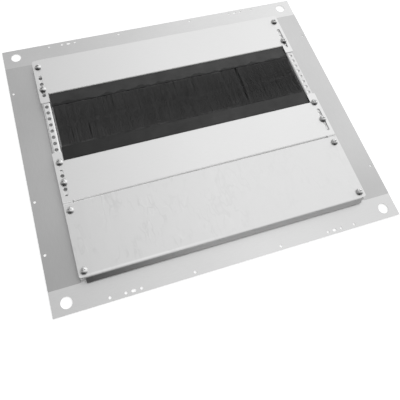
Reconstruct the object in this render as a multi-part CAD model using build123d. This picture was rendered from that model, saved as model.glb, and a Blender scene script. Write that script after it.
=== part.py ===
from build123d import *
import math
import os

# Cable-entry plate with a twin brush strip, lying flat on its outer flanges.
# Millimetres. X runs along the plate's length, Y to its rear, Z up, origin under its centre.

# Frame, folded from galvanised sheet
plate_length = 600.0
plate_depth = 500.0
frame_sheet = 2.0
frame_bend_radius = 1.5
rail_top = 13.5
end_flange_width = 40.0
end_web_setback = 2.5
side_flange_width = 51.5
ledge_width = 14.0
web_end_drop = 2.0

# Channel rails, the raised part of the two side profiles
rail_width = 15.0
rail_lip_height = 8.5
rail_pitch = 12.5
rail_hole_radius = 3.25
rail_end_margin = 11.5

# Holes in the outer flanges
corner_hole_radius = 9.0
corner_hole_in_x = 23.5
corner_hole_in_y = 17.5
rim_hole_radius = 2.25
rim_hole_inset = 6.25
rim_hole_x = (75.0, 162.5, 187.5, 212.5)
rim_slot_x = 175.0
rim_slot_length = 7.5
side_hole_y = 153.0
left_extra_hole_y = -62.5

# Panels, folded from thinner sheet
panel_sheet = 1.5
panel_bend_radius = 0.8
panel_overhang = 0.5
panel_flange_height = 12.0
panel_end_play = 1.0
apron_height = 10.5
apron_splay = 28.0
apron_length = 481.0
rear_panel_depth = 78.6
middle_panel_depth = 76.3
front_panel_depth = 125.1
seam_gap = 0.5
tab_overhang = 1.5
tab_hole_margin = 19.0
tab_length = 94.0
tab_edge_setback = 1.5
tab_corner_radius = 4.5
tab_end_radius = 1.5
clearance_hole_radius = 3.3
slot_length = 48.0
rear_slot_distance = 43.5
middle_slot_distance = 38.5

# The panels' screws stand in these holes of the rails, counted from their front or rear end
front_panel_holes = (0, 8)
middle_panel_holes = (12, 15)
rear_panel_holes_from_rear = (5, 1)

# Pan-head screws and square nuts
thread_radius = 3.0
screw_length = 12.0
head_radius = 6.0
head_height = 4.6
head_edge_height = 2.0
recess_wing = 1.2
recess_span = 6.0
recess_depth = 2.4
nut_width = 10.0
nut_height = 5.0
nut_chamfer = 1.2
thread_play = 0.05

# Brush holders, each open towards the cable opening
holder_wall = 2.5
holder_lip = 2.0
holder_drop = 2.0
holder_upper_reach = 25.6
holder_lower_reach = 13.0
slot_height = 6.0
nib_height = 0.6
nib_width = 1.0

# Brush strips in the holders
rivet_head_room = 0.5
channel_sheet = 0.8
channel_depth = 6.0
strip_end_inset = 1.5
core_wire_radius = 1.1
core_wire_play = 0.3
tip_gap = 1.0
tip_ragged = 1.2
tip_wave = 2.4
tuft_count = 92
tuft_gap_width = 0.5
tuft_gap_length = 36.0

# Blind rivets between holder and panel
rivet_radius = 1.6
rivet_head_radius = 2.7
rivet_head_height = 1.1
rivet_tail_radius = 2.3
rivet_tail_length = 2.5
rivet_pitch = 100.0
rivet_count = 5

# How far a cutter runs past the surface that it enters or leaves
cutter_margin = 1.0

# Places worked out from the sizes above
half_length = plate_length / 2
half_depth = plate_depth / 2
joint_y = half_depth - end_flange_width
web_y = joint_y - end_web_setback
web_x = half_length - side_flange_width
rail_half = web_y - frame_sheet
rail_inner_x = web_x - rail_width
rail_line_x = web_x - rail_width / 2
rail_hole_count = int((2 * web_y - 2 * rail_end_margin) / rail_pitch) + 1
rear_panel_holes = tuple(rail_hole_count - back for back in rear_panel_holes_from_rear)
panel_top = rail_top + panel_sheet
panel_bend = panel_sheet + panel_bend_radius
panel_half = web_x + tab_overhang
flange_half = rail_inner_x - panel_end_play
panel_edge_y = web_y + panel_overhang
rear_panel_front_y = panel_edge_y - rear_panel_depth
front_panel_rear_y = front_panel_depth - panel_edge_y
middle_panel_front_y = front_panel_rear_y + seam_gap
middle_panel_rear_y = middle_panel_front_y + middle_panel_depth
tips_y = (rear_panel_front_y + middle_panel_rear_y) / 2
holder_top = panel_top - holder_drop
slot_top = holder_top - holder_lip
slot_bottom = slot_top - slot_height
slot_middle = (slot_bottom + slot_top) / 2
holder_bottom = slot_bottom - holder_lip
channel_back = holder_wall + rivet_head_height + rivet_head_room
channel_mouth = channel_back + channel_depth
core_wire_reach = channel_back + channel_sheet + core_wire_play + core_wire_radius
strip_half = flange_half - strip_end_inset


def rail_hole_y(index):
    return rail_end_margin - web_y + index * rail_pitch


def block(x_ends, y_ends, z_ends):
    """A box between two values along each axis."""
    ends = (x_ends, y_ends, z_ends)
    size = [abs(high - low) for low, high in ends]
    middle = [(low + high) / 2 for low, high in ends]
    return Pos(*middle) * Box(*size)


def drill(x, y, radius, top):
    """A cutter for an upright round hole, from below the plate to a height."""
    return Pos(x, y, top / 2) * Cylinder(radius, top + 2 * cutter_margin)


def drill_slot(x, y, length, radius, top, angle=0):
    """A cutter for an upright slot with round ends, turned by an angle about Z."""
    outline = Rot(0, 0, angle) * SlotOverall(length, 2 * radius)
    return Pos(x, y, -cutter_margin) * extrude(outline, top + 2 * cutter_margin)


def folded(points, sheet, bend_radius):
    """The section of a folded sheet whose middle line runs through the points."""
    return trace(FilletPolyline(*points, radius=bend_radius + sheet / 2), line_width=sheet)


def along_x(section, half):
    """A section drawn in Y and Z, drawn out along X to both sides of the middle."""
    return extrude(Plane.YZ * section, half, both=True)


def along_y(section, half):
    """A section drawn in X and Z, drawn out along Y to both sides of the middle."""
    return extrude(Plane.XZ * section, half, both=True)


def end_profile(side):
    """The front (side -1) or rear (side 1) frame profile: flange, web and ledge."""
    middle = frame_sheet / 2
    web = side * (web_y - middle)
    top = rail_top - middle
    flange = block((-half_length, half_length), (side * joint_y, side * half_depth), (0, frame_sheet))
    foot = [(side * (half_depth - frame_sheet), middle), (web, middle)]
    raised = foot + [(web, top), (side * (web_y - ledge_width), top)]
    low = foot + [(web, rail_top - web_end_drop)]
    body = flange + along_x(folded(raised, frame_sheet, frame_bend_radius), rail_inner_x)
    body += along_x(folded(low, frame_sheet, frame_bend_radius), web_x)
    corner_y = side * (half_depth - corner_hole_in_y)
    rim_y = side * (half_depth - rim_hole_inset)
    for end in (-1, 1):
        body -= drill(end * (half_length - corner_hole_in_x), corner_y, corner_hole_radius, frame_sheet)
        body -= drill_slot(end * rim_slot_x, rim_y, rim_slot_length, rim_hole_radius, frame_sheet)
        for x in rim_hole_x:
            body -= drill(end * x, rim_y, rim_hole_radius, frame_sheet)
    return body


def side_profile(side, hole_ys):
    """The left (side -1) or right (side 1) frame profile with its channel rail."""
    middle = frame_sheet / 2
    web = side * (web_x - middle)
    lip = side * (rail_inner_x + middle)
    top = rail_top - middle
    points = [(side * (half_length - frame_sheet), middle), (web, middle), (web, top), (lip, top)]
    points += [(lip, rail_top - rail_lip_height)]
    body = along_y(folded(points, frame_sheet, frame_bend_radius), rail_half)
    flat_x = web_x + frame_bend_radius
    body += block((side * flat_x, side * half_length), (-rail_half, rail_half), (0, frame_sheet))
    for end in (-1, 1):
        body += block((side * web_x, side * half_length), (end * rail_half, end * joint_y), (0, frame_sheet))
    for index in range(rail_hole_count):
        body -= drill(side * rail_line_x, rail_hole_y(index), rail_hole_radius, rail_top)
    for y in hole_ys:
        body -= drill(side * (half_length - rim_hole_inset), y, rim_hole_radius, frame_sheet)
    return body


def upright_flange(y, side):
    """A panel's flange folded straight down, its outer face at y and facing to a side."""
    middle = panel_sheet / 2
    line = y - side * middle
    points = [(y - side * 2 * panel_bend, rail_top + middle), (line, rail_top + middle)]
    points += [(line, panel_top - panel_flange_height)]
    return along_x(folded(points, panel_sheet, panel_bend_radius), flange_half)


def apron(side):
    """The splayed flange that hangs outside the frame's front or rear web."""
    middle = panel_sheet / 2
    splay = math.radians(apron_splay)
    line = panel_edge_y - middle / math.cos(splay) + middle * math.tan(splay)
    drop = apron_height - middle
    points = [(side * (panel_edge_y - 2 * panel_bend), rail_top + middle), (side * line, rail_top + middle)]
    points += [(side * (line + drop * math.tan(splay)), panel_top - apron_height)]
    return along_x(folded(points, panel_sheet, panel_bend_radius), apron_length / 2)


def tab(side, rear_y, front_y, rear_radius, front_radius):
    """The flat end of a panel that lies on a rail, its outer corners rounded."""
    outer_x = side * panel_half
    inner_x = side * rail_inner_x
    outline = Rectangle(abs(outer_x - inner_x), rear_y - front_y)
    outline = Pos((outer_x + inner_x) / 2, (rear_y + front_y) / 2) * outline
    for y, radius in ((rear_y, rear_radius), (front_y, front_radius)):
        corner = outline.vertices().sort_by_distance((outer_x, y, 0))[0]
        outline = fillet(corner, radius)
    return Pos(0, 0, rail_top) * extrude(outline, panel_sheet)


def tray(rear_y, front_y, tabs, flanges):
    """A panel folded from one sheet: its flat between two bends, its tabs and its flanges."""
    flat_y = (front_y + panel_bend, rear_y - panel_bend)
    body = block((-rail_inner_x, rail_inner_x), flat_y, (rail_top, panel_top))
    for piece in tabs + flanges:
        body += piece
    return body


def cut_tab_holes(body, round_y, slot_distance):
    """Cuts a round hole and a long slot over the rail holes in each tab."""
    for side in (-1, 1):
        x = side * rail_line_x
        body -= drill(x, round_y, clearance_hole_radius, panel_top)
        body -= drill_slot(x, round_y - slot_distance, slot_length, clearance_hole_radius, panel_top, 90)
    return body


def rivet_xs():
    first = -(rivet_count - 1) / 2 * rivet_pitch
    return [first + index * rivet_pitch for index in range(rivet_count)]


def cut_rivet_holes(body, y):
    """Cuts the rivet holes through the upright walls that meet at y."""
    length = 2 * (holder_wall + panel_sheet)
    for x in rivet_xs():
        body -= Pos(x, y, slot_middle) * Rot(90, 0, 0) * Cylinder(rivet_radius, length)
    return body


def rear_panel():
    """The panel behind the cable opening, with its apron over the frame's rear web."""
    tab_rear_y = panel_edge_y - tab_edge_setback
    tab_sizes = (tab_rear_y, tab_rear_y - tab_length, tab_corner_radius, tab_end_radius)
    tabs = [tab(side, *tab_sizes) for side in (-1, 1)]
    body = tray(panel_edge_y, rear_panel_front_y, tabs, [apron(1), upright_flange(rear_panel_front_y, -1)])
    body = cut_tab_holes(body, rail_hole_y(rear_panel_holes[1]), rear_slot_distance)
    return cut_rivet_holes(body, rear_panel_front_y)


def middle_panel():
    """The panel in front of the cable opening, with an upright flange on each long side."""
    round_y = rail_hole_y(middle_panel_holes[1])
    tab_sizes = (round_y + tab_hole_margin, middle_panel_front_y, tab_end_radius, tab_end_radius)
    tabs = [tab(side, *tab_sizes) for side in (-1, 1)]
    flanges = [upright_flange(middle_panel_front_y, -1), upright_flange(middle_panel_rear_y, 1)]
    body = tray(middle_panel_rear_y, middle_panel_front_y, tabs, flanges)
    body = cut_tab_holes(body, round_y, middle_slot_distance)
    return cut_rivet_holes(body, middle_panel_rear_y)


def front_panel():
    """The plain front panel, with its apron over the frame's front web."""
    tab_sizes = (front_panel_rear_y, tab_edge_setback - panel_edge_y, tab_end_radius, tab_corner_radius)
    tabs = [tab(side, *tab_sizes) for side in (-1, 1)]
    body = tray(front_panel_rear_y, -panel_edge_y, tabs, [apron(-1), upright_flange(front_panel_rear_y, 1)])
    for side in (-1, 1):
        for index in front_panel_holes:
            body -= drill(side * rail_line_x, rail_hole_y(index), clearance_hole_radius, panel_top)
    return body


def screw():
    """A pan-head screw with a cross recess, its head seated at height 0."""
    rise = head_height - head_edge_height
    crown_radius = (head_radius ** 2 + rise ** 2) / (2 * rise)
    half_way = head_radius / 2
    crown_middle = head_height - crown_radius + math.sqrt(crown_radius ** 2 - half_way ** 2)
    edge = (head_radius, head_edge_height)
    sides = Polyline((0, head_height), (0, 0), (head_radius, 0), edge)
    crown = ThreePointArc(edge, (half_way, crown_middle), (0, head_height))
    head = revolve(Plane.XZ * make_face(sides + crown), Axis.Z)
    shank = Pos(0, 0, -screw_length / 2) * Cylinder(thread_radius, screw_length)
    recess = Box(recess_span, recess_wing, 2 * recess_depth) + Box(recess_wing, recess_span, 2 * recess_depth)
    return shank + head - Pos(0, 0, head_height) * recess


def nut():
    """A square nut with a chamfered upper rim, its top face at height 0."""
    body = Pos(0, 0, -nut_height / 2) * Box(nut_width, nut_width, nut_height)
    body = chamfer(body.faces().sort_by(Axis.Z)[-1].edges(), nut_chamfer)
    return body - Cylinder(thread_radius + thread_play, 2 * (nut_height + cutter_margin))


def copies(piece, places):
    """Separate copies of a piece, one at each place."""
    return Compound(children=[Pos(*place) * piece for place in places])


def at_screws(piece, holes, height):
    """Copies of a piece at a panel's four screws."""
    places = [(side * rail_line_x, rail_hole_y(index), height) for side in (-1, 1) for index in holes]
    return copies(piece, places)


def strip_section(points, edge_y, side):
    """A closed section given by heights and by distances from a panel's edge into the opening."""
    outline = [(edge_y + side * reach, height) for reach, height in points]
    return make_face(Polyline(*outline, close=True))


def brush_holder(edge_y, side):
    """The profile along a panel's edge, with its long upper lip and the slot for the strip."""
    nib_top = slot_bottom + nib_height
    nib_end = channel_mouth + nib_width
    points = [(0, holder_bottom), (holder_lower_reach, holder_bottom), (holder_lower_reach, slot_bottom)]
    points += [(nib_end, slot_bottom), (nib_end, nib_top), (channel_mouth, nib_top), (channel_mouth, slot_bottom)]
    points += [(holder_wall, slot_bottom), (holder_wall, slot_top), (holder_upper_reach, slot_top)]
    points += [(holder_upper_reach, holder_top), (0, holder_top)]
    body = along_x(strip_section(points, edge_y, side), flange_half)
    return cut_rivet_holes(body, edge_y)


def brush_channel(edge_y, side):
    """The steel U strip that grips the bristles, its mouth towards the opening."""
    inner_back = channel_back + channel_sheet
    inner_bottom = slot_bottom + channel_sheet
    inner_top = slot_top - channel_sheet
    points = [(channel_back, slot_bottom), (channel_mouth, slot_bottom), (channel_mouth, inner_bottom)]
    points += [(inner_back, inner_bottom), (inner_back, inner_top), (channel_mouth, inner_top)]
    points += [(channel_mouth, slot_top), (channel_back, slot_top)]
    return along_x(strip_section(points, edge_y, side), strip_half)


def core_wire(edge_y, side, half=strip_half):
    """The wire inside the channel round which the bristles are folded."""
    wire = Rot(0, 90, 0) * Cylinder(core_wire_radius, 2 * half)
    return Pos(0, edge_y + side * core_wire_reach, slot_middle) * wire


def bristles(edge_y, side):
    """One row of bristles: a closed bed that parts into tufts towards its ragged tips."""
    root_y = edge_y + side * (channel_back + channel_sheet)
    tip_y = tips_y - side * tip_gap / 2
    pitch = 2 * strip_half / tuft_count
    thickness = slot_height - 2 * channel_sheet
    outline = [(-strip_half, root_y), (strip_half, root_y)]
    for index in range(tuft_count, -1, -1):
        short = tip_ragged * (1 + math.sin(tip_wave * index)) / 2
        outline.append((index * pitch - strip_half, tip_y - side * short))
    bed = extrude(make_face(Polyline(*outline, close=True)), thickness)
    bed = Pos(0, 0, slot_middle - thickness / 2) * bed
    gap_y = (tip_y - side * tuft_gap_length, tip_y + side * cutter_margin)
    gaps = []
    for index in range(1, tuft_count):
        x = index * pitch - strip_half
        gaps.append(block((x - tuft_gap_width / 2, x + tuft_gap_width / 2), gap_y, (slot_bottom, slot_top)))
    return bed - gaps - core_wire(edge_y, side, strip_half + cutter_margin)


def brush_rivets(edge_y, side):
    """Blind rivets with their heads in the holder's slot and their tails behind the flange."""
    grip = holder_wall + panel_sheet
    shank = Pos(0, 0, -grip / 2) * Cylinder(rivet_radius, grip)
    head = Pos(0, 0, rivet_head_height / 2) * Cylinder(rivet_head_radius, rivet_head_height)
    tail = Pos(0, 0, -grip - rivet_tail_length / 2) * Cylinder(rivet_tail_radius, rivet_tail_length)
    rivet = Rot(-90 * side, 0, 0) * (shank + head + tail)
    return copies(rivet, [(x, edge_y + side * holder_wall, slot_middle) for x in rivet_xs()])


def write(name, shape):
    shape.label = name
    export_step(shape, os.path.join("parts", name + ".step"))


os.makedirs("parts", exist_ok=True)

write("front_profile", end_profile(-1))
write("rear_profile", end_profile(1))
write("left_profile", side_profile(-1, (-side_hole_y, left_extra_hole_y, side_hole_y)))
write("right_profile", side_profile(1, (-side_hole_y, side_hole_y)))

write("rear_panel", rear_panel())
write("middle_panel", middle_panel())
write("front_panel", front_panel())

brush_strips = {"rear": (rear_panel_front_y, -1), "front": (middle_panel_rear_y, 1)}
for name, place in brush_strips.items():
    write(name + "_brush_holder", brush_holder(*place))
    write(name + "_brush_channel", brush_channel(*place))
    write(name + "_core_wire", core_wire(*place))
    write(name + "_bristles", bristles(*place))
    write(name + "_brush_rivets", brush_rivets(*place))

screw_sets = {"rear": rear_panel_holes, "middle": middle_panel_holes, "front": front_panel_holes}
for name, holes in screw_sets.items():
    write(name + "_panel_screws", at_screws(screw(), holes, panel_top))
    write(name + "_panel_nuts", at_screws(nut(), holes, rail_top - frame_sheet))
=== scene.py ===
import math

import bpy
import numpy as np
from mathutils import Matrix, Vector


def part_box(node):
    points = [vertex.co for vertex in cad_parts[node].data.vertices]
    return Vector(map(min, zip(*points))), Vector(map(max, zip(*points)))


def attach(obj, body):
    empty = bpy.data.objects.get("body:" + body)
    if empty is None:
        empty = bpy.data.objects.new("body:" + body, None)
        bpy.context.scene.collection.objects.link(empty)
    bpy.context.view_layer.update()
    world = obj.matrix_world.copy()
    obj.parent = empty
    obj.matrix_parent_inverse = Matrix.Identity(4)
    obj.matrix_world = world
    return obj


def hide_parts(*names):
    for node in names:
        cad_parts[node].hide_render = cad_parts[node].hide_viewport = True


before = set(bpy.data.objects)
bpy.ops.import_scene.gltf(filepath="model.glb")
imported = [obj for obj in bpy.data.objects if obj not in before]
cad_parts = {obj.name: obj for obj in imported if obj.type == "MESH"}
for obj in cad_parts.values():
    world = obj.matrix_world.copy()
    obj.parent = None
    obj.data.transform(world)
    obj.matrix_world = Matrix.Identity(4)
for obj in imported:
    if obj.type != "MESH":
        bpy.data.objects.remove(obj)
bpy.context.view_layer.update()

MM = 0.001

# Camera: place in metres, turn in degrees, lens and shift for a square frame
CAMERA_PLACE = (-0.21488, -0.36307, 0.75094)
CAMERA_TURN = (26.388, -5.002, -17.330)
CAMERA_LENS = 42.48
CAMERA_SHIFT = (0.0630, -0.1306)

# Studio: its bright side, the strengths that go with spans of the direction, and the lamp
BRIGHT_SIDE = (0.85, 0.15, 0.5)
SIDE_SPAN = (0.15, 0.7)
SIDE_LEVELS = (0.41, 1.08)
FRONT_SPAN = (-0.45, -0.15)
FRONT_LEVELS = (0.65, 1.0)
HORIZON_SPAN = (0.08, 0.16)
HORIZON_LEVELS = (1.0, 0.0)
KEY_PLACE = (2.2, 1.2, 1.3)
KEY_SIZE = 2.0
KEY_POWER = 4.0

# Floor: its size in metres, and how much it glows beside the plate, and under it left and right of a line
FLOOR_SIZE = 8.0
FLOOR_GLOW = 0.55
GLOW_UNDER_PLATE = (0.08, 0.75)
GLOW_RIGHT_FROM = 0.2365

# Places on the plate, in metres: the frame's webs, the front panel's fold, the seam and the cable opening
WEB_X = 0.2485
WEB_Y = 0.2075
FRONT_FOLD_Y = -0.2075
SEAM_Y = -0.0826
OPENING_MIDDLE_Y = 0.06165
OPENING_HALF = 0.04215
EDGE_BLEND = 0.0008

# Where most of a noise's values lie, and how the rolling lines are drawn out along a sheet
NOISE_SPAN = (0.3, 0.7)
ROLLING_STRETCH = {"X": (1, 24, 1), "Y": (24, 1, 1)}

# How far roughness and grey go below and above their middle value, on sheets and on small parts
SHEET_ROUGHNESS_SPREAD = (0.03, 0.03)
PART_ROUGHNESS_SPREAD = (0.04, 0.05)
PART_GREY_SPREAD = (0.06, 0.04)

# Painted light and shade on the rails, flanges and panels, as gains on the zinc's tone, with the spans in
# metres along which they change
RAIL_GAINS = (1.45, 1.2)
SIDE_STRIP_GAINS = (0.90, 1.0)
SIDE_STRIP_SPAN = (-0.19, -0.10)
FRONT_STRIP_GAINS = (1.0, 0.87)
FRONT_STRIP_SPAN = (0.05, 0.27)
REAR_STRIP_GAINS = (0.965, 1.04)
REAR_STRIP_SPAN = (-0.14, 0.05)
PANEL_GAINS = (1.025, 0.955)
PANEL_SPAN = (0.0, 0.24)

# Painted light on the folds at the seam, on a matt band: the band in which it ends, how matt it is, and its
# gain
SEAM_BAND = (0.0018, 0.0030)
SEAM_MATT = 0.92
SEAM_LIGHT_GAIN = 1.2

# Apron: painted shade along its length and over its fold, painted light low and shade high on it, and a
# painted highlight beside the fold
APRON_GAINS = (0.18, 0.71)
APRON_SPAN = (-0.24, -0.05)
APRON_HEIGHT_GAINS = (1.25, 0.95)
APRON_HEIGHTS = (0.003, 0.013)
FOLD_SHADE_WIDTH = 0.0022
FOLD_HIGHLIGHT = 0.17
FOLD_HIGHLIGHT_Y = -0.2035
FOLD_HIGHLIGHT_WIDTH = 0.0022
FOLD_HIGHLIGHT_SPAN = (-0.12, 0.0)

# Curled streaks on the front panel: noise scale, turn in degrees and width, then their place and strength
DARK_CURLS = (31, 9, 0.05)
LIGHT_CURLS = (23, -7, 0.028)
LIGHT_CURL_SHARE = 0.45
CURL_STRETCH = (2.6, 1, 1)
CURL_PATCHES = (0.42, 0.60)
CURL_STRENGTH = (0.62, 0.14)
CURL_SPAN = (-0.12, 0.08)

# Screw heads: heights over which painted shade on the edge fades out towards the crown, and painted shade on
# the side that faces the object's front
HEAD_HEIGHTS = (0.0170, 0.0193)
HEAD_EDGE_SHADE = 0.85
HEAD_FRONT = (-0.10, -0.99, 0.0)
HEAD_FRONT_SPAN = (0.25, 0.65)
HEAD_FRONT_SHADE = 0.08

# Painted light and shade, lighter to the right and in patches beside the holders' lips, and the noise of its
# patches and of the holders' borders of painted shade
PAINTED_LIGHT_SPAN = (-0.24, 0.10)
BRISTLE_LIGHT_GAINS = (1.0, 1.22)
LIP_LIGHT = 0.5
LIP_LIGHT_SPAN = (0.0015, 0.0045)
LIP_LIGHT_PATCHES = (0.45, 0.6)
BORDER_RIPPLE = (0.38, 0.62)

# Bristle rows: how many filaments there are, and their width in millimetres and taper
TUFTS = 92
FILAMENTS_PER_TUFT = 22
LAYERS = 3
FILAMENT_WIDTH = 0.55
TIP_TAPER = 0.35
TAPER_CURVE = 3

# Where the filaments start, rise from under the holders' lips and end, in millimetres and shares of the lift
LAYER_MARGIN = 0.35
HIDDEN_ROOT = 6.0
LIP_CLEARANCE = 0.3
LIP_RISE = (0.45, 2.6)
LIP_OPEN_FROM = 0.6
LIP_WAVES = (37.0, 23.0, 11.0)
WAVE_PHASES = (0, 6.3)
LIP_LIFT = 2.1
LIFT_SHARES = (0.0, 0.0, 1.0, 1.0, 0.85, 0.6)
FREE_RINGS = (0.03, 0.5, 1.0)
TIP_REACH = (-1.5, 8.0)

# How unevenly the filaments lie, in millimetres and shares of their pitch and length
PITCH_PLAY = (0.1, 0.9)
TUFT_LEAN = 0.1
LEAN_CURVE = 1.6
FILAMENT_STRAY = 0.1
HEIGHT_STRAY = 0.05
HEIGHT_BOW_END = 0.9
FAN_OUT = 1.3
FAN_OUT_BY = 0.25

# The core of a row, in millimetres
BED_PITCH = 0.5
BED_MARGIN = 1.8
BED_RIDGE = 0.25
BED_TIP_MARGIN = 1.0

# Places where the bristles part: x, highest and lowest y, half the gap's width, and its reach sideways
PARTINGS = (
    (121.8, 107.0, 34.0, 1.6, 8.0),
    (160.5, 64.0, 34.0, 1.1, 6.0),
    (-133.0, 107.0, 96.0, 1.0, 6.0),
    (-5.0, 107.0, 92.0, 1.1, 6.0),
    (-207.0, 44.0, 24.0, 1.1, 6.0),
    (-176.0, 48.0, 28.0, 1.2, 6.0),
    (-126.0, 40.0, 22.0, 1.2, 6.0),
)

# How a parting bends, and how far it fades in from its highest and lowest y, in millimetres
PARTING_BEND = 0.8
PARTING_BEND_LENGTH = 9.0
PARTING_FADES = (4.0, 12.0)


def place_camera():
    """The camera stands where the photograph's camera stood."""
    data = bpy.data.cameras.new("camera")
    data.lens = CAMERA_LENS
    data.shift_x, data.shift_y = CAMERA_SHIFT
    camera = bpy.data.objects.new("camera", data)
    camera.location = CAMERA_PLACE
    camera.rotation_euler = [math.radians(angle) for angle in CAMERA_TURN]
    bpy.context.scene.collection.objects.link(camera)
    bpy.context.scene.camera = camera


def soft_lamp(name, place, size, power):
    """A square soft lamp that looks at the middle of the plate."""
    data = bpy.data.lights.new(name, "AREA")
    data.size = size
    data.energy = power
    lamp = bpy.data.objects.new(name, data)
    lamp.location = place
    lamp.rotation_euler = (-lamp.location).to_track_quat("-Z", "Y").to_euler()
    bpy.context.scene.collection.objects.link(lamp)


def light_world():
    """A white studio, brightest on the right and dimmer on the left and in front, with a white horizon."""
    world = bpy.data.worlds.new("studio")
    world.use_nodes = True
    bpy.context.scene.world = world
    nodes, links = world.node_tree.nodes, world.node_tree.links
    background = nodes["Background"]
    background.inputs["Color"].default_value = (1, 1, 1, 1)
    direction = nodes.new("ShaderNodeTexCoord").outputs["Generated"]
    split = nodes.new("ShaderNodeSeparateXYZ")
    links.new(direction, split.inputs[0])
    towards = nodes.new("ShaderNodeVectorMath")
    towards.operation = "DOT_PRODUCT"
    towards.inputs[1].default_value = BRIGHT_SIDE
    links.new(direction, towards.inputs[0])

    def ramp(value, levels, span):
        node = nodes.new("ShaderNodeMapRange")
        node.interpolation_type = "SMOOTHSTEP"
        node.inputs["From Min"].default_value, node.inputs["From Max"].default_value = span
        node.inputs["To Min"].default_value, node.inputs["To Max"].default_value = levels
        links.new(value, node.inputs["Value"])
        return node.outputs["Result"]

    def joined(operation, first, second):
        node = nodes.new("ShaderNodeMath")
        node.operation = operation
        links.new(first, node.inputs[0])
        links.new(second, node.inputs[1])
        return node.outputs[0]

    side = ramp(towards.outputs["Value"], SIDE_LEVELS, SIDE_SPAN)
    front = ramp(split.outputs["Y"], FRONT_LEVELS, FRONT_SPAN)
    horizon = ramp(split.outputs["Z"], HORIZON_LEVELS, HORIZON_SPAN)
    strength = joined("MAXIMUM", joined("MULTIPLY", side, front), horizon)
    links.new(strength, background.inputs["Strength"])


class Shader:
    """A Principled material with short calls for the nodes that shape it."""

    def __init__(self, name):
        self.material = bpy.data.materials.new(name)
        self.material.use_nodes = True
        self.tree = self.material.node_tree
        self.shader = self.tree.nodes["Principled BSDF"]
        coordinates = self.node("ShaderNodeTexCoord").outputs
        self.place = coordinates["Object"]
        self.normal = coordinates["Normal"]

    def set(self, **values):
        """Numbers and colours on the shader's own sockets."""
        for name, value in values.items():
            self.shader.inputs[name.replace("_", " ")].default_value = value

    def node(self, kind, **settings):
        """A new node with its settings."""
        node = self.tree.nodes.new(kind)
        for name, value in settings.items():
            setattr(node, name, value)
        return node

    def link(self, start, end):
        """Links one node's output to another's input."""
        self.tree.links.new(start, end)

    def noise(self, scale, stretch=(1, 1, 1), detail=3.0, turn=(0, 0, 0)):
        """Cloudy noise of about 1 / scale metres, in turned and stretched object coordinates."""
        mapping = self.node("ShaderNodeMapping")
        mapping.inputs["Rotation"].default_value = turn
        mapping.inputs["Scale"].default_value = stretch
        self.link(self.place, mapping.inputs["Vector"])
        noise = self.node("ShaderNodeTexNoise")
        noise.inputs["Scale"].default_value = scale
        noise.inputs["Detail"].default_value = detail
        self.link(mapping.outputs["Vector"], noise.inputs["Vector"])
        return noise.outputs["Fac"]

    def axis(self, name):
        """An object coordinate in metres."""
        split = self.node("ShaderNodeSeparateXYZ")
        self.link(self.place, split.inputs[0])
        return split.outputs[name]

    def facing(self, direction):
        """How far the surface faces a direction in the object's own frame."""
        dot = self.node("ShaderNodeVectorMath", operation="DOT_PRODUCT")
        dot.inputs[1].default_value = direction
        self.link(self.normal, dot.inputs[0])
        return dot.outputs["Value"]

    def maths(self, operation, *values):
        """A sum, product or other result of values that are numbers or outputs of nodes."""
        node = self.node("ShaderNodeMath", operation=operation)
        for place, value in enumerate(values):
            if isinstance(value, (int, float)):
                node.inputs[place].default_value = value
            else:
                self.link(value, node.inputs[place])
        return node.outputs[0]

    def mixed(self, first, second, share):
        """A blend of two values."""
        mix = self.node("ShaderNodeMix")
        mix.inputs["Factor"].default_value = share
        self.link(first, mix.inputs["A"])
        self.link(second, mix.inputs["B"])
        return mix.outputs["Result"]

    def ranged(self, value, levels, span=NOISE_SPAN):
        """A result that goes from the first level to the second while the value crosses the span."""
        node = self.node("ShaderNodeMapRange")
        node.inputs["From Min"].default_value, node.inputs["From Max"].default_value = span
        node.inputs["To Min"].default_value, node.inputs["To Max"].default_value = levels
        self.link(value, node.inputs["Value"])
        return node.outputs["Result"]

    def along(self, axis, levels, span):
        """A result that changes along an axis of the object."""
        return self.ranged(self.axis(axis), levels, span)

    def beside(self, axis, place):
        """Distance along an axis from a place on it, to either side."""
        return self.maths("ABSOLUTE", self.maths("SUBTRACT", self.axis(axis), place))

    def grey(self, value, greys, span=NOISE_SPAN, gain=None):
        """Base colour from a value, between two greys, times a gain."""
        tone = self.ranged(value, greys, span)
        if gain:
            tone = self.maths("MULTIPLY", tone, gain)
        colour = self.node("ShaderNodeCombineColor")
        for channel in ("Red", "Green", "Blue"):
            self.link(tone, colour.inputs[channel])
        self.link(colour.outputs["Color"], self.shader.inputs["Base Color"])

    def rough(self, value, levels):
        """Roughness from a value, between two levels."""
        self.link(self.ranged(value, levels), self.shader.inputs["Roughness"])

    def bump(self, value, depth, strength):
        """Bumps as deep as a value says, in metres."""
        bump = self.node("ShaderNodeBump")
        bump.inputs["Distance"].default_value = depth
        bump.inputs["Strength"].default_value = strength
        self.link(value, bump.inputs["Height"])
        self.link(bump.outputs["Normal"], self.shader.inputs["Normal"])


def spread(middle, below, above):
    """The two levels below and above a middle value."""
    return middle - below, middle + above


def rail_gain(metal):
    """The raised rails get painted light over the side flanges' tone, stronger on the left, and painted
    shade darkens the flanges to the front.
    """
    offset = metal.maths("ABSOLUTE", metal.axis("X"))
    raised = metal.ranged(offset, (1.0, 0.0), (WEB_X - EDGE_BLEND, WEB_X + EDGE_BLEND))
    brighter = metal.maths("SUBTRACT", metal.along("X", RAIL_GAINS, (-WEB_X, WEB_X)), 1.0)
    rails = metal.maths("MULTIPLY_ADD", raised, brighter, 1.0)
    return metal.maths("MULTIPLY", rails, metal.along("Y", SIDE_STRIP_GAINS, SIDE_STRIP_SPAN))


def front_strip_gain(metal):
    """Painted shade darkens the front flange to its right end."""
    return metal.along("X", FRONT_STRIP_GAINS, FRONT_STRIP_SPAN)


def rear_strip_gain(metal):
    """Painted light brightens the rear flange on its right half."""
    return metal.along("X", REAR_STRIP_GAINS, REAR_STRIP_SPAN)


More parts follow.
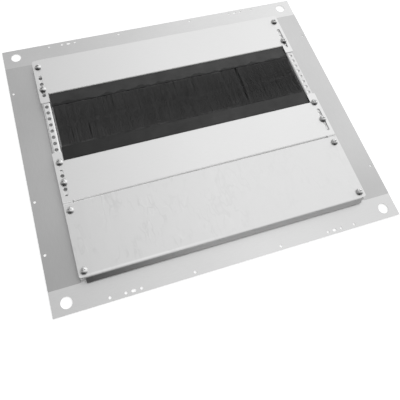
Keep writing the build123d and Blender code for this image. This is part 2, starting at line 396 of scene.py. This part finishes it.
def fold_highlight(metal):
    """A painted highlight on a line beside the front panel's fold, on its left part."""
    line = metal.ranged(metal.beside("Y", FOLD_HIGHLIGHT_Y), (FOLD_HIGHLIGHT, 0.0), (0.0, FOLD_HIGHLIGHT_WIDTH))
    return metal.maths("MULTIPLY_ADD", line, metal.along("X", (1.0, 0.0), FOLD_HIGHLIGHT_SPAN), 1.0)


def apron_gain(metal):
    """Painted shade on the apron, most of all at its left end and over its fold, painted light low on it and
    shade high up, and a painted highlight beside the fold.
    """
    length_gain = metal.along("X", APRON_GAINS, APRON_SPAN)
    apron_shade = metal.maths("MULTIPLY", length_gain, metal.along("Z", APRON_HEIGHT_GAINS, APRON_HEIGHTS))
    flat = metal.along("Y", (0.0, 1.0), (FRONT_FOLD_Y - EDGE_BLEND, FRONT_FOLD_Y + FOLD_SHADE_WIDTH))
    apron = metal.maths("MULTIPLY_ADD", metal.maths("SUBTRACT", 1.0, apron_shade), flat, apron_shade)
    return metal.maths("MULTIPLY", apron, fold_highlight(metal))


def panel_gain(metal):
    """Painted shade darkens the panels a little to the right, and painted light makes the folds at the seam
    paler.
    """
    seam_light = metal.ranged(metal.beside("Y", SEAM_Y), (SEAM_LIGHT_GAIN, 1.0), SEAM_BAND)
    return metal.maths("MULTIPLY", metal.along("X", PANEL_GAINS, PANEL_SPAN), seam_light)


def add_matt_seam(metal):
    """Makes the folds at the seam matt and less metallic, under their painted light."""
    zinc = metal.ranged(metal.beside("Y", SEAM_Y), (1.0 - SEAM_MATT, 1.0), SEAM_BAND)
    metal.link(zinc, metal.shader.inputs["Metallic"])


def sheet_metal(name, greys, roughness, gain, rolled="X", seam=False):
    """Zinc-coated sheet with faint rolling lines along an axis and soft clouding."""
    metal = Shader(name)
    metal.set(Metallic=1.0)
    lines = metal.noise(scale=70, stretch=ROLLING_STRETCH[rolled], detail=4.0)
    cloud = metal.noise(scale=9)
    tone = metal.mixed(lines, cloud, share=0.5)
    metal.grey(tone, greys, span=(0.35, 0.65), gain=gain(metal))
    metal.rough(tone, spread(roughness, *SHEET_ROUGHNESS_SPREAD))
    metal.bump(lines, depth=0.00002, strength=0.5)
    # Painted light at the seam, on a matt band.
    if seam:
        add_matt_seam(metal)
    return metal.material


def curls(metal, scale, turn, width):
    """Thin curled lines, where a stretched noise passes its middle value."""
    field = metal.noise(scale, CURL_STRETCH, detail=1.5, turn=(0, 0, math.radians(turn)))
    distance = metal.maths("ABSOLUTE", metal.maths("SUBTRACT", field, 0.5))
    return metal.ranged(distance, (1.0, 0.0), (0.0, width))


def spangled_sheet():
    """The front panel's sheet: an even coat with faint clouds and patches of short curled streaks."""
    metal = Shader("spangled_sheet")
    metal.set(Metallic=1.0)
    cloud = metal.noise(scale=24, stretch=(1.6, 1, 1), detail=4.0)
    patches = metal.ranged(metal.noise(scale=22, detail=2.0), (0.0, 1.0), CURL_PATCHES)
    dark = curls(metal, *DARK_CURLS)
    light = metal.maths("MULTIPLY", curls(metal, *LIGHT_CURLS), LIGHT_CURL_SHARE)
    lines = metal.maths("MULTIPLY", metal.maths("SUBTRACT", light, dark), patches)
    tone = metal.maths("MULTIPLY_ADD", lines, metal.along("X", CURL_STRENGTH, CURL_SPAN), cloud)
    # The gain holds the apron's painted shade, the painted highlight beside its fold and the panels' painted
    # light and shade.
    gain = metal.maths("MULTIPLY", apron_gain(metal), panel_gain(metal))
    metal.grey(tone, greys=(0.71, 0.84), span=(0.0, 1.1), gain=gain)
    metal.rough(cloud, levels=(0.43, 0.50))
    metal.bump(cloud, depth=0.00025, strength=0.5)
    # Painted light at the seam, on a matt band.
    add_matt_seam(metal)
    return metal.material


def head_shade(metal):
    """Painted shade on the screw heads: darker to their edges and, most of all, on the side that faces the
    front.
    """
    edge = metal.along("Z", (HEAD_EDGE_SHADE, 1.0), HEAD_HEIGHTS)
    front = metal.ranged(metal.facing(HEAD_FRONT), (1.0, HEAD_FRONT_SHADE), HEAD_FRONT_SPAN)
    return metal.maths("MULTIPLY", edge, front)


def zinc_part(name, tone, roughness, gain=None):
    """Bright plating on a small turned or pressed part."""
    metal = Shader(name)
    metal.set(Metallic=1.0)
    cloud = metal.noise(scale=420, detail=2.0)
    metal.grey(cloud, spread(tone, *PART_GREY_SPREAD), gain=gain and gain(metal))
    metal.rough(cloud, spread(roughness, *PART_ROUGHNESS_SPREAD))
    metal.bump(cloud, depth=0.00002, strength=0.4)
    return metal.material


def holder_plastic(name, painted_light, border_y, border_reach, border_gain):
    """Black extruded plastic, mottled, with painted light and shade that make it lighter to the right, and a
    wavy border of painted shade on one long edge.
    """
    plastic = Shader(name)
    plastic.set(Specular_IOR_Level=0.35)
    streaks = plastic.noise(scale=60, stretch=(1, 14, 1))
    cloud = plastic.noise(scale=38, detail=4.0)
    tone = plastic.mixed(streaks, cloud, share=0.75)
    ripple = plastic.noise(scale=36, stretch=(1, 0.02, 0.02))
    reach = plastic.ranged(ripple, (0.0, border_reach), BORDER_RIPPLE)
    beyond = plastic.maths("SUBTRACT", plastic.beside("Y", border_y), reach)
    border = plastic.ranged(beyond, (border_gain, 1.0), (-EDGE_BLEND / 2, EDGE_BLEND / 2))
    gain = plastic.maths("MULTIPLY", plastic.along("X", painted_light, PAINTED_LIGHT_SPAN), border)
    plastic.grey(tone, greys=(0.024, 0.050), gain=gain)
    plastic.rough(tone, levels=(0.5, 0.62))
    plastic.bump(cloud, depth=0.00006, strength=0.6)
    return plastic.material


def bristle_nylon():
    """Black nylon filaments, with painted light that makes them lighter to the right and in patches where
    they come out from under the holders' lips.
    """
    nylon = Shader("bristle_nylon")
    nylon.set(Specular_IOR_Level=0.08)
    tufts = nylon.noise(scale=90, stretch=(1, 0.12, 1), detail=2.0)
    inside = nylon.maths("SUBTRACT", OPENING_HALF, nylon.beside("Y", OPENING_MIDDLE_Y))
    clumps = nylon.noise(scale=40, stretch=(1, 0.2, 1), detail=2.0)
    patches = nylon.ranged(clumps, (0.0, 1.0), LIP_LIGHT_PATCHES)
    edge = nylon.maths("MULTIPLY", patches, nylon.ranged(inside, (LIP_LIGHT, 0.0), LIP_LIGHT_SPAN))
    # Painted light, stronger to the right and in patches beside the lips.
    gain = nylon.maths("ADD", nylon.along("X", BRISTLE_LIGHT_GAINS, PAINTED_LIGHT_SPAN), edge)
    nylon.grey(tufts, greys=(0.081, 0.094), gain=gain)
    nylon.rough(tufts, levels=(0.75, 0.85))
    return nylon.material


def floor_glow(floor):
    """The floor's glow from place to place: even beside the plate, and weaker or stronger under it."""
    outside = []
    for axis, web in (("X", WEB_X), ("Y", WEB_Y)):
        offset = floor.maths("ABSOLUTE", floor.axis(axis))
        outside.append(floor.ranged(offset, (0.0, 1.0), (web, web + EDGE_BLEND)))
    under = floor.along("X", GLOW_UNDER_PLATE, (GLOW_RIGHT_FROM, GLOW_RIGHT_FROM + EDGE_BLEND))
    stronger = floor.maths("SUBTRACT", FLOOR_GLOW, under)
    return floor.maths("MULTIPLY_ADD", stronger, floor.maths("MAXIMUM", *outside), under)


def floor_material():
    """A pale floor that keeps the plate's shadow and glows for camera, glossy and transmission rays."""
    floor = Shader("floor")
    floor.set(Roughness=0.9, Specular_IOR_Level=0.0, Emission_Color=(1, 1, 1, 1))
    floor.grey(floor.noise(scale=1.5, detail=2.0), greys=(0.80, 0.82))
    path = floor.node("ShaderNodeLightPath").outputs
    seen = path["Is Camera Ray"]
    for kind in ("Is Glossy Ray", "Is Transmission Ray"):
        seen = floor.maths("MAXIMUM", seen, path[kind])
    glow = floor.maths("MULTIPLY", seen, floor_glow(floor))
    floor.link(glow, floor.shader.inputs["Emission Strength"])
    return floor.material


def lay_floor():
    """The pale surface that the plate lies on."""
    mesh = bpy.data.meshes.new("floor")
    half = FLOOR_SIZE / 2
    corners = [(-half, -half, 0), (half, -half, 0), (half, half, 0), (-half, half, 0)]
    mesh.from_pydata(corners, [], [(0, 1, 2, 3)])
    mesh.materials.append(floor_material())
    floor = bpy.data.objects.new("floor", mesh)
    bpy.context.scene.collection.objects.link(floor)


def dress(material, *names):
    """Gives CAD nodes their finish."""
    for name in names:
        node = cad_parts[name]
        if not node.material_slots:
            node.data.materials.append(material)
        for material_slot in node.material_slots:
            material_slot.material = material


def both(name):
    """The rear and the front node of a pair."""
    return ["rear_" + name, "front_" + name]


def mesh_piece(name, points, faces, material, smooth=True):
    """A new piece from points in metres and faces of one size."""
    mesh = bpy.data.meshes.new(name)
    faces = np.asarray(faces)
    sides = faces.shape[1]
    mesh.vertices.add(len(points))
    mesh.vertices.foreach_set("co", np.asarray(points, dtype=np.float32).ravel())
    mesh.loops.add(faces.size)
    mesh.loops.foreach_set("vertex_index", faces.astype(np.int32).ravel())
    mesh.polygons.add(len(faces))
    mesh.polygons.foreach_set("loop_start", np.arange(0, faces.size, sides, dtype=np.int32))
    mesh.update(calc_edges=True)
    mesh.polygons.foreach_set("use_smooth", np.full(len(faces), smooth))
    mesh.materials.append(material)
    piece = bpy.data.objects.new(name, mesh)
    bpy.context.scene.collection.objects.link(piece)
    return piece


def parted(x, y):
    """Moves points sideways, away from the lines where the bristles part."""
    for middle, highest, lowest, half_width, reach in PARTINGS:
        fade_in = np.clip((highest - y) / PARTING_FADES[0], 0, 1)
        fade_out = np.clip((y - lowest) / PARTING_FADES[1], 0, 1)
        offset = x - middle - PARTING_BEND * np.sin(y / PARTING_BEND_LENGTH)
        nearness = np.clip(1 - np.abs(offset) / reach, 0, 1)
        push = half_width * (fade_in * fade_out) * nearness / (1 - half_width / reach)
        x = x + np.where(offset < 0, -push, push)
    return x


def lip_slack(x, side, rng):
    """How loosely the bristles come out along a row, in smooth waves. Only the rear row is loose."""
    waves = sum(np.sin(2 * np.pi * x / length + rng.uniform(*WAVE_PHASES)) for length in LIP_WAVES)
    height = 0.5 + waves / (2 * len(LIP_WAVES))
    return np.clip((height - LIP_OPEN_FROM) / (1 - LIP_OPEN_FROM), 0, 1) * (side < 0)


def row_ends(low, high, side):
    """The y of a row's root and of its tips, which point to +Y for a side of 1 and to -Y for -1."""
    return (low[1], high[1]) if side > 0 else (high[1], low[1])


def ring_places(low, high, side, lip_y, x_root, rng):
    """The y of each filament's rings, and the rings' shares of the way from its start to its tip."""
    total = len(x_root)
    root_y, tip_y = row_ends(low, high, side)
    start_y = root_y + side * HIDDEN_ROOT
    end_y = tip_y + side * rng.uniform(*TIP_REACH, total)
    rise = LIP_RISE[0] + (LIP_RISE[1] - LIP_RISE[0]) * lip_slack(x_root, side, rng)
    rise_end = lip_y + side * rise
    held = [np.full(total, start_y), np.full(total, lip_y - side * LIP_CLEARANCE), rise_end]
    free = [rise_end + (end_y - rise_end) * share for share in FREE_RINGS]
    y = np.stack(held + free, axis=1)
    return y, (y - start_y) / (end_y - start_y)[:, None]


def filament_lines(low, high, side, lip_y, rng):
    """Middle lines of a row's filaments in millimetres, as points by filament, ring and axis."""
    count = TUFTS * FILAMENTS_PER_TUFT
    total = count * LAYERS
    pitch = (high[0] - low[0] - FILAMENT_WIDTH) / TUFTS
    tuft = np.tile(np.repeat(np.arange(TUFTS), FILAMENTS_PER_TUFT), LAYERS)
    place = np.tile(np.arange(count) % FILAMENTS_PER_TUFT, LAYERS)
    layer = np.repeat(np.arange(LAYERS), count)
    across = (place + rng.uniform(*PITCH_PLAY, total)) / FILAMENTS_PER_TUFT
    x_root = low[0] + FILAMENT_WIDTH / 2 + (tuft + across) * pitch
    lean = rng.normal(0, TUFT_LEAN, TUFTS)[tuft] + rng.normal(0, FILAMENT_STRAY, total)
    bow = rng.normal(0, FILAMENT_STRAY, total)
    heights = np.linspace(low[2] + LAYER_MARGIN, high[2] - LAYER_MARGIN, LAYERS)
    z_root = heights[layer] + rng.normal(0, HEIGHT_STRAY / 2, total)
    z_bow = rng.normal(0, HEIGHT_STRAY, total)
    y, t = ring_places(low, high, side, lip_y, x_root, rng)
    x = x_root[:, None] + lean[:, None] * t ** LEAN_CURVE + bow[:, None] * np.sin(np.pi * t)
    x = np.clip(parted(x, y), low[0] + FILAMENT_WIDTH / 2, high[0] - FILAMENT_WIDTH / 2)
    middle = (low[2] + high[2]) / 2
    fan = 1 + (FAN_OUT - 1) * np.clip(t / FAN_OUT_BY, 0, 1)
    stray = z_bow[:, None] * np.sin(np.pi * t * HEIGHT_BOW_END)
    z = middle + (z_root[:, None] - middle) * fan + stray + LIP_LIFT * np.array(LIFT_SHARES)
    return np.stack([x, y, z], axis=2)


def filament_mesh(lines):
    """Three-sided filaments round the lines, tapered a little to their tips."""
    total, rings = lines.shape[:2]
    angles = np.radians((90, 210, 330))
    sides = len(angles)
    taper = 1 - TIP_TAPER * (np.arange(rings) / (rings - 1)) ** TAPER_CURVE
    ring = np.stack([np.cos(angles), np.zeros(sides), np.sin(angles)], axis=1) * FILAMENT_WIDTH / 2
    points = lines[:, :, None, :] + ring[None, None] * taper[None, :, None, None]
    first = np.arange(total)[:, None, None] * rings * sides
    level = np.arange(rings - 1)[None, :, None] * sides
    corner = np.arange(sides)[None, None, :]
    after = (corner + 1) % sides
    base = first + level
    faces = np.stack([base + corner, base + after, base + sides + after, base + sides + corner], axis=3)
    return points.reshape(-1, 3), faces.reshape(-1, 4)


def bed_mesh(low, high, side):
    """The ridged core of a row, which stands for the filaments between its faces."""
    columns = int((high[0] - low[0]) / BED_PITCH)
    x = np.linspace(low[0], high[0], columns)
    ridge = BED_RIDGE * (np.arange(columns) % 2)
    root_y, tip_y = row_ends(low, high, side)
    start_y = root_y + side * HIDDEN_ROOT
    end_y = tip_y - side * BED_TIP_MARGIN
    bottom = low[2] + BED_MARGIN + ridge
    top = high[2] - BED_MARGIN - ridge
    edges = ((start_y, bottom), (end_y, bottom), (end_y, top), (start_y, top))
    points = np.concatenate([np.stack([x, np.full(columns, y), z], axis=1) for y, z in edges])
    starts = [edge * columns for edge in range(len(edges))]
    faces = []
    for here, beyond in zip(starts, starts[1:] + starts[:1]):
        for column in range(columns - 1):
            faces.append((here + column, beyond + column, beyond + column + 1, here + column + 1))
    faces.append(tuple(starts))
    faces.append(tuple(start + columns - 1 for start in reversed(starts)))
    return points, np.array(faces)


def bristle_row(node, side, material, seed):
    """One row of real filaments in place of the plain bed of the CAD node."""
    low, high = [np.array(corner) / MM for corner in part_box(node)]
    holder_low, holder_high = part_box(node.replace("bristles", "brush_holder"))
    lip_y = (holder_high if side > 0 else holder_low)[1] / MM
    lines = filament_lines(low, high, side, lip_y, np.random.default_rng(seed))
    points, faces = filament_mesh(lines)
    filaments = mesh_piece(node + "_filaments", points * MM, faces, material)
    points, faces = bed_mesh(low, high, side)
    bed = mesh_piece(node + "_core", points * MM, faces, material, smooth=False)
    for piece in (filaments, bed):
        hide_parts(node)
        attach(piece, "root")


def dress_sheets():
    """Zinc finishes for the frame's profiles and the panels."""
    front_strip = sheet_metal("front_strip", greys=(0.75, 0.81), roughness=0.46, gain=front_strip_gain)
    dress(front_strip, "front_profile")
    rear_strip = sheet_metal("rear_strip", greys=(0.67, 0.73), roughness=0.46, gain=rear_strip_gain)
    dress(rear_strip, "rear_profile")
    side_strip = sheet_metal("side_strip", greys=(0.55, 0.61), roughness=0.46, gain=rail_gain, rolled="Y")
    dress(side_strip, "left_profile", "right_profile")
    panel_sheet = sheet_metal("panel_sheet", greys=(0.77, 0.81), roughness=0.44, gain=panel_gain, seam=True)
    dress(panel_sheet, "rear_panel", "middle_panel")
    dress(spangled_sheet(), "front_panel")


def dress_holders():
    """Plastic for the two brush holders, with painted shade beside the bristles at the rear and beside the
    panel in front.
    """
    rear_plastic = holder_plastic("rear_holder_plastic", painted_light=(0.95, 1.75), border_y=0.1038,
                                  border_reach=0.0065, border_gain=0.42)
    dress(rear_plastic, "rear_brush_holder")
    front_plastic = holder_plastic("front_holder_plastic", painted_light=(0.50, 1.28), border_y=-0.0061,
                                   border_reach=0.0022, border_gain=0.15)
    dress(front_plastic, "front_brush_holder")


place_camera()
light_world()
soft_lamp("key", KEY_PLACE, KEY_SIZE, KEY_POWER)
lay_floor()

dress_sheets()
dress_holders()
dress(zinc_part("strip_steel", tone=0.55, roughness=0.4), *both("brush_channel"), *both("core_wire"))
nylon = bristle_nylon()
bristle_row("rear_bristles", side=-1, material=nylon, seed=11)
bristle_row("front_bristles", side=1, material=nylon, seed=23)
dress(zinc_part("rivet_aluminium", tone=0.7, roughness=0.35), *both("brush_rivets"))
# Painted shade on the screw heads' edges and on their sides that face the front.
screw_zinc = zinc_part("screw_zinc", tone=0.78, roughness=0.24, gain=head_shade)
dress(screw_zinc, *both("panel_screws"), "middle_panel_screws")
nut_zinc = zinc_part("nut_zinc", tone=0.62, roughness=0.35)
dress(nut_zinc, *both("panel_nuts"), "middle_panel_nuts")

scene = bpy.context.scene
scene.view_settings.view_transform = "Standard"
